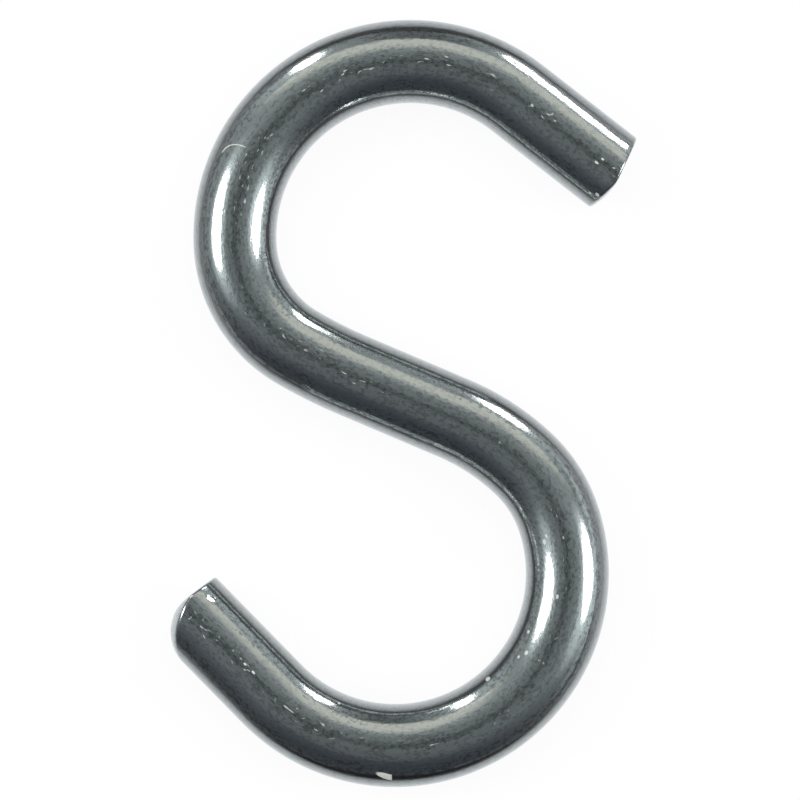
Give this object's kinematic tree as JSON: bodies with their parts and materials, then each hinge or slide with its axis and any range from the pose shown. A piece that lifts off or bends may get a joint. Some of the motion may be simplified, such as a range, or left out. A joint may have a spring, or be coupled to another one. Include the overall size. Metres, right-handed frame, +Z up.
{
  "type": "s hook",
  "caption": "Open S hook bent from round zinc-plated steel wire, with a load bend at each end, a sloping shank and straight cropped legs.",
  "frame": {"origin": "under the middle of the whole outline, on the surface that the hook lies on", "axes": "the S lies in the XY plane: +X to the right, +Y up along its length towards the upper hook, +Z up from the surface through the wire's thickness"},
  "size_m": [0.0308, 0.0508, 0.0055],
  "materials": {
    "zinc_plated_wire": "bright zinc plate over drawn wire, slightly mottled"
  },
  "bodies": {
    "root": {"hook": "zinc_plated_wire"}
  },
  "joints": []
}
